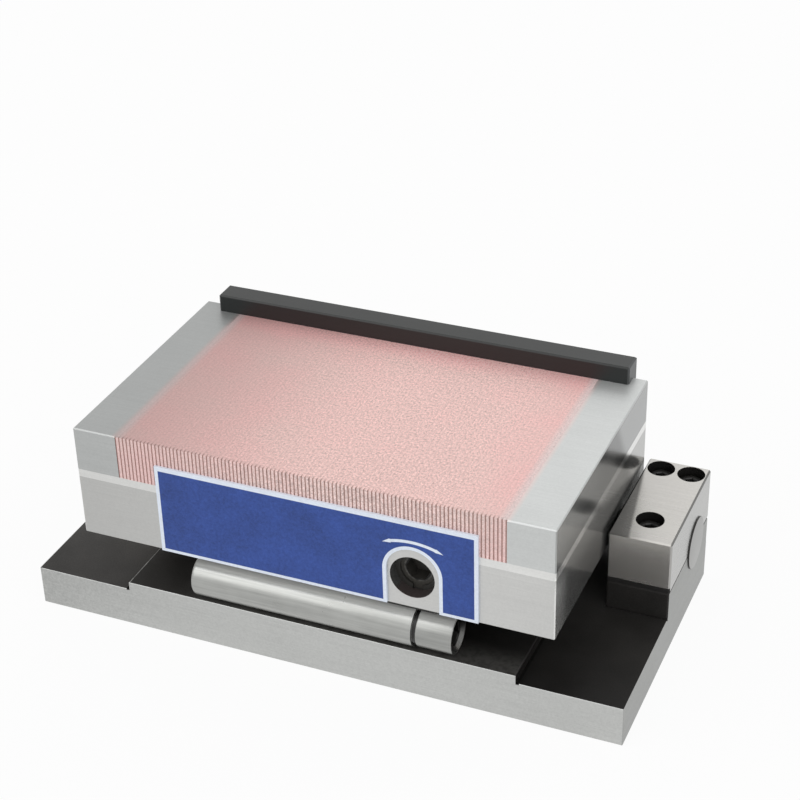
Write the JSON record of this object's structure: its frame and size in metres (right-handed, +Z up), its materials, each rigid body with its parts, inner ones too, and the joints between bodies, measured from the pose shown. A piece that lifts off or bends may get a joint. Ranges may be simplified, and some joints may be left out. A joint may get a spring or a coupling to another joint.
{
  "type": "sine magnetic chuck",
  "caption": "Permanent magnetic chuck with a laminated working face, hinged at the rear of a flat base and resting on a sine roller at the front, with a key-operated switch.",
  "frame": {"origin": "centre of the base's underside", "axes": "+X along the chuck's length to the side that is on the right from the front, +Y from the switch side to the hinge side, +Z up out of the working face"},
  "size_m": [0.224, 0.1059, 0.0883],
  "materials": {
    "ground_steel": "ground",
    "dark_steel": "black oxide",
    "screw_steel": "black oxide",
    "copper": "ground",
    "nonmagnetic_frame": "ground stainless",
    "bronze": "machined",
    "magnet": "sintered ferrite",
    "soft_iron": "milled",
    "label": "printed"
  },
  "bodies": {
    "base": {"base_plate": "ground_steel", "hinge_cap_left": "ground_steel", "hinge_cap_right": "ground_steel", "hinge_cap_screws": "screw_steel", "bearing_plugs": "ground_steel"},
    "chuck": {"pivot_shaft": "ground_steel", "sine_plate": "dark_steel", "sine_roller": "ground_steel", "roller_end_plug": "ground_steel", "roller_screws": "screw_steel", "shaft_screws": "screw_steel", "sine_plate_screws": "screw_steel", "chuck_housing": "ground_steel", "spacer_frame": "nonmagnetic_frame", "end_rail_left": "ground_steel", "end_rail_right": "ground_steel", "pole_laminations": "ground_steel", "pole_separators": "copper", "top_plate_screws": "screw_steel", "spindle_retaining_ring": "screw_steel", "stop_rail": "dark_steel", "stop_rail_screws": "screw_steel", "label_plate": "label"},
    "magnet_pack": {"magnet_carrier": "bronze", "magnets": "magnet", "flux_bars": "soft_iron", "drive_rack": "ground_steel", "rack_pins": "screw_steel"},
    "switch": {"switch_spindle": "ground_steel"}
  },
  "joints": [
    {"name": "chuck_tilt", "type": "hinge", "parent": "base", "child": "chuck", "pos_m": [0, 0.0337, 0.026], "axis": [-1, 0, 0], "range_deg": [0, 45]},
    {"name": "magnet_slide", "type": "slide", "parent": "chuck", "child": "magnet_pack", "axis": [1, 0, 0], "range_m": [0, 0.00754]},
    {"name": "switch_turn", "type": "hinge", "parent": "chuck", "child": "switch", "pos_m": [0.038, -0.0479, 0.0508], "axis": [0, 1, 0], "range_deg": [0, 90]}
  ],
  "couplings": [
    {"joint": "switch_turn", "follows": "magnet_slide", "rad_per_m": 208.33}
  ]
}
